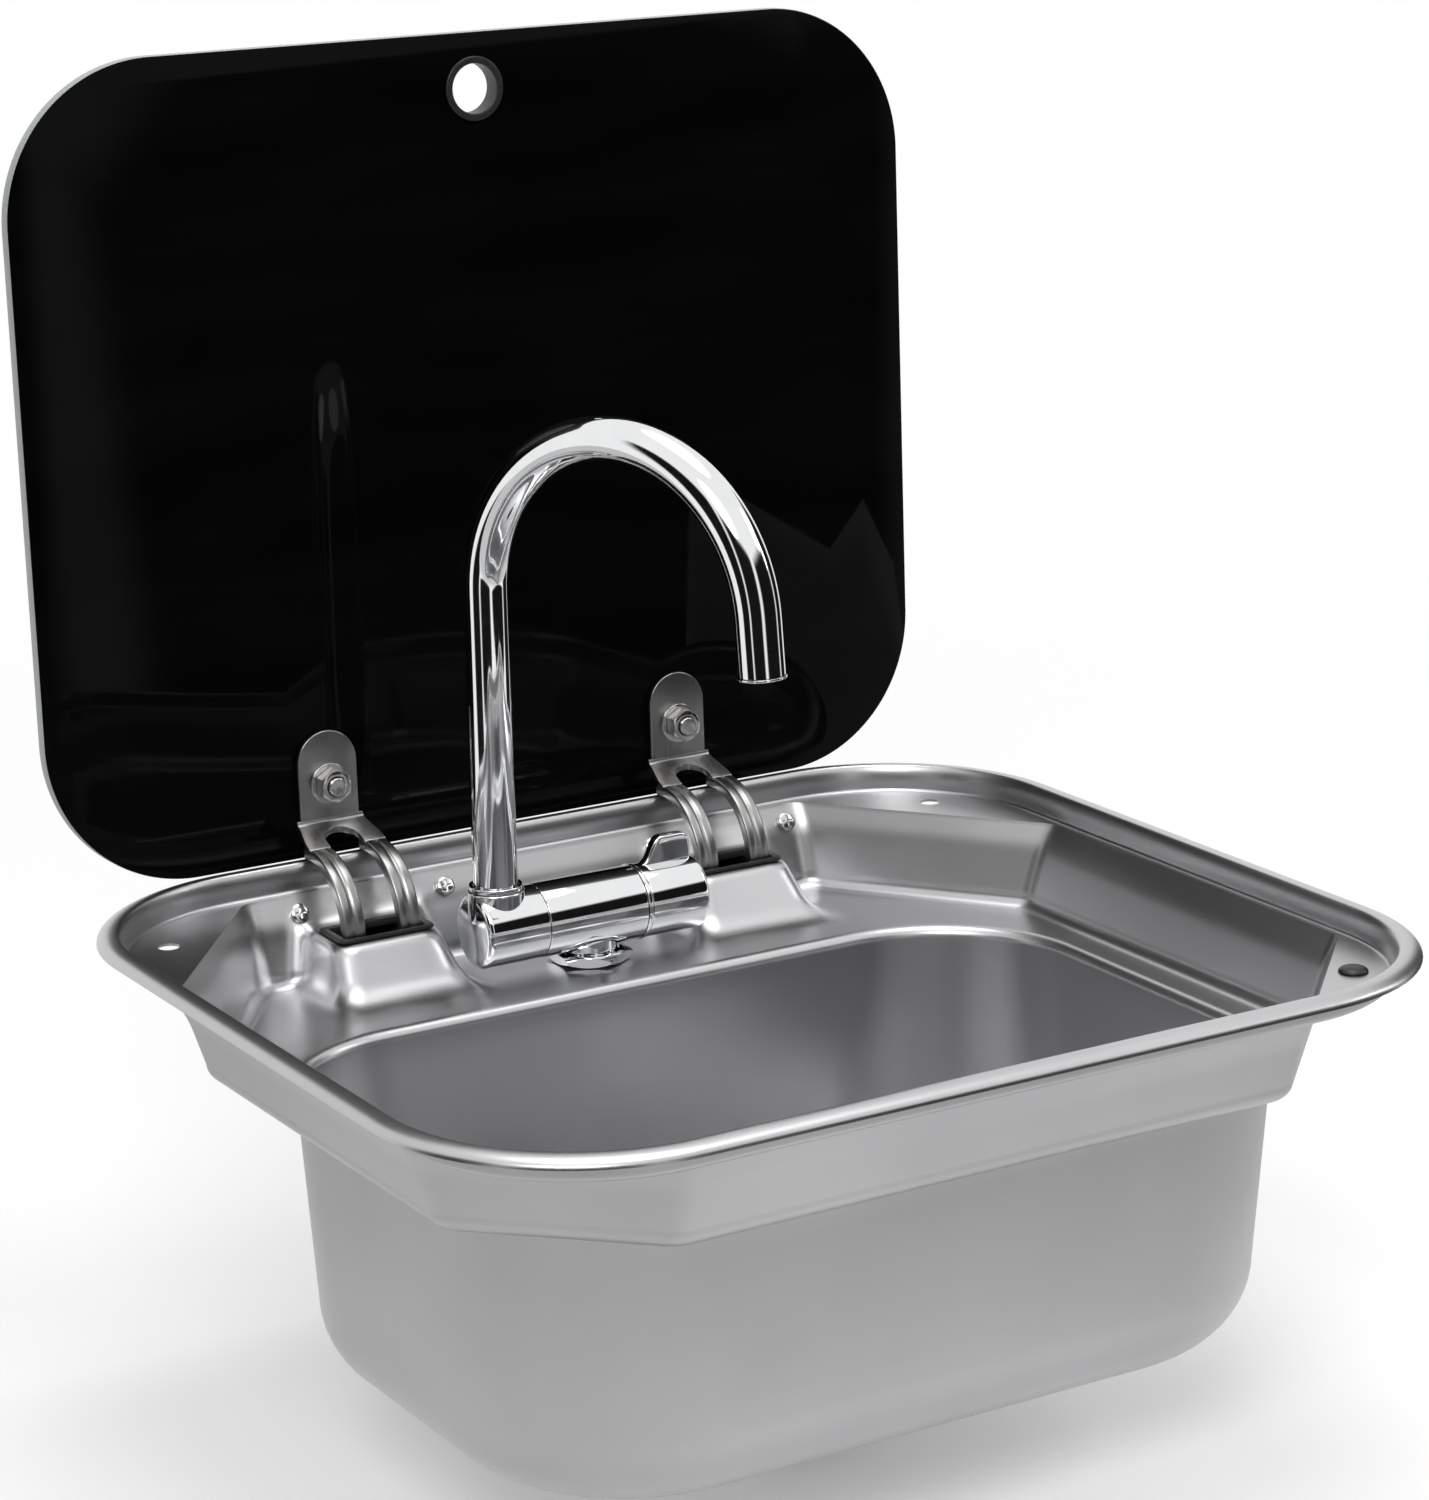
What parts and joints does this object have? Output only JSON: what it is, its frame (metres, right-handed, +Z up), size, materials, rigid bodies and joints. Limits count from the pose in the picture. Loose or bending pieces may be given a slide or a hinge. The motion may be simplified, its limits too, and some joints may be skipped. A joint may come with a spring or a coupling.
{
  "type": "drop-in sink with glass lid",
  "caption": "Drop-in stainless sink with a hinged black glass lid that closes flush, a folding swivel spout and a thumb-lever tap on the rear shelf.",
  "frame": {"origin": "middle of the rim in the plane of the worktop, on the underside of the rim seal", "axes": "+X to the right seen from the front, +Y to the back where the lid is hinged, +Z up"},
  "size_m": [0.42, 0.389, 0.512],
  "materials": {
    "basin_steel": "satin pressed stainless steel",
    "hinge_steel": "brushed stainless steel, darker",
    "screw_steel": "bright screw steel",
    "chrome": "polished chrome plate",
    "black_glass": "opaque black tempered glass with a pale ground edge",
    "black_plastic": "satin black moulding",
    "grey_plastic": "grey moulding",
    "rubber": "black rubber",
    "copper": "drawn copper tube"
  },
  "bodies": {
    "sink": {"basin": "basin_steel", "rim_seal": "rubber", "lid_bumper_left": "rubber", "lid_bumper_right": "rubber", "hinge_housing_left": "black_plastic", "hinge_housing_right": "black_plastic", "hinge_pin_left": "screw_steel", "hinge_pin_right": "screw_steel", "slot_bezel_left": "black_plastic", "slot_bezel_right": "black_plastic", "housing_screw_1": "screw_steel", "housing_screw_2": "screw_steel", "housing_screw_3": "screw_steel", "housing_screw_4": "screw_steel", "tap_body": "chrome", "tap_cartridge": "grey_plastic", "tap_ring": "chrome", "tap_base_collar": "chrome", "tap_gasket": "rubber", "tap_backing_washer": "screw_steel", "tap_locknut": "screw_steel", "inlet_tail_left": "copper", "inlet_tail_right": "copper", "waste_flange": "basin_steel", "waste_screw": "screw_steel", "waste_gasket": "rubber", "waste_body": "grey_plastic"},
    "lid": {"glass_lid": "black_glass", "finger_hole_ring": "black_plastic", "hinge_leaf_left": "hinge_steel", "lid_bolt_left": "hinge_steel", "glass_washer_left": "rubber", "glass_pad_left": "rubber", "lid_washer_left": "hinge_steel", "lid_nut_left": "hinge_steel", "hinge_leaf_right": "hinge_steel", "lid_bolt_right": "hinge_steel", "glass_washer_right": "rubber", "glass_pad_right": "rubber", "lid_washer_right": "hinge_steel", "lid_nut_right": "hinge_steel"},
    "spout_base": {"spout_block": "chrome", "spout_collar": "chrome"},
    "spout": {"spout_pipe": "chrome", "spout_outlet": "chrome"},
    "lever": {"tap_lever": "chrome"},
    "plug": {"drain_plug": "rubber"}
  },
  "joints": [
    {"name": "lid_hinge", "type": "hinge", "parent": "sink", "child": "lid", "pos_m": [0, 0.1726, -0.0204], "axis": [1, 0, 0], "range_deg": [0, 91.35]},
    {"name": "spout_fold", "type": "hinge", "parent": "sink", "child": "spout_base", "pos_m": [0, 0.127, -0.021], "axis": [1, 0, 0], "range_deg": [0, 90]},
    {"name": "spout_swivel", "type": "hinge", "parent": "spout_base", "child": "spout", "pos_m": [-0.0388, 0.127, 0], "axis": [0, 0, 1], "range_deg": [0, 68]},
    {"name": "tap_lever", "type": "hinge", "parent": "sink", "child": "lever", "pos_m": [0, 0.127, -0.021], "axis": [1, 0, 0], "range_deg": [0, 75]},
    {"name": "plug_lift", "type": "slide", "parent": "sink", "child": "plug", "axis": [0, 0, 1], "range_m": [0, 0.025]}
  ],
  "couplings": [
    {"joint": "spout_fold", "follows": "lid_hinge", "ratio": 0.98522},
    {"joint": "spout_swivel", "follows": "lid_hinge", "ratio": 0.74439},
    {"joint": "tap_lever", "follows": "lid_hinge", "ratio": 0.82102}
  ]
}
